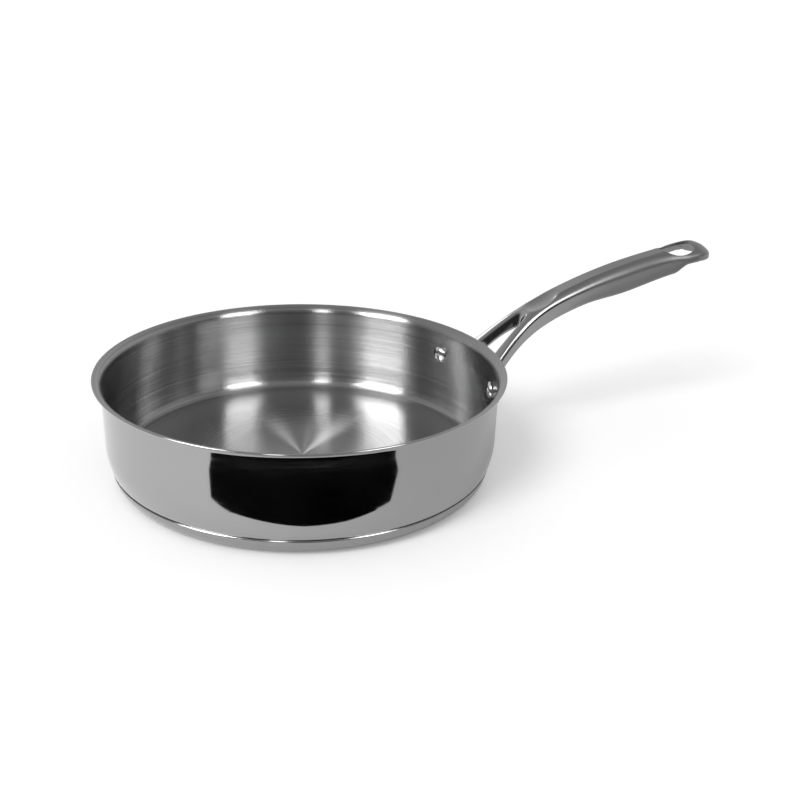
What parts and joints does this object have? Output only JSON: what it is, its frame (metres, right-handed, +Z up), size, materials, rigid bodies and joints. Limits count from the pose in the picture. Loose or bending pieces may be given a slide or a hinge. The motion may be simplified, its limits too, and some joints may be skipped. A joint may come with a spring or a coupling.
{
  "type": "braising pan",
  "caption": "Shallow round stainless braising pan with a bellied wall, pouring lip, bonded base and a long forked cast handle riveted to the wall.",
  "frame": {"origin": "centre of the base on the plane that the pan stands on", "axes": "+Z up along the pan's axis, +X out along the handle"},
  "size_m": [0.4317, 0.2542, 0.1195],
  "materials": {
    "body_steel": "polished outside, brushed inside",
    "core_aluminium": "matt",
    "cap_steel": "polished side, spun underside",
    "handle_steel": "satin grip, polished prongs",
    "rivet_steel": "polished"
  },
  "bodies": {
    "root": {"pan_body": "body_steel", "base_core": "core_aluminium", "base_cap": "cap_steel", "handle": "handle_steel", "rivet_left": "rivet_steel", "rivet_right": "rivet_steel"}
  },
  "joints": []
}
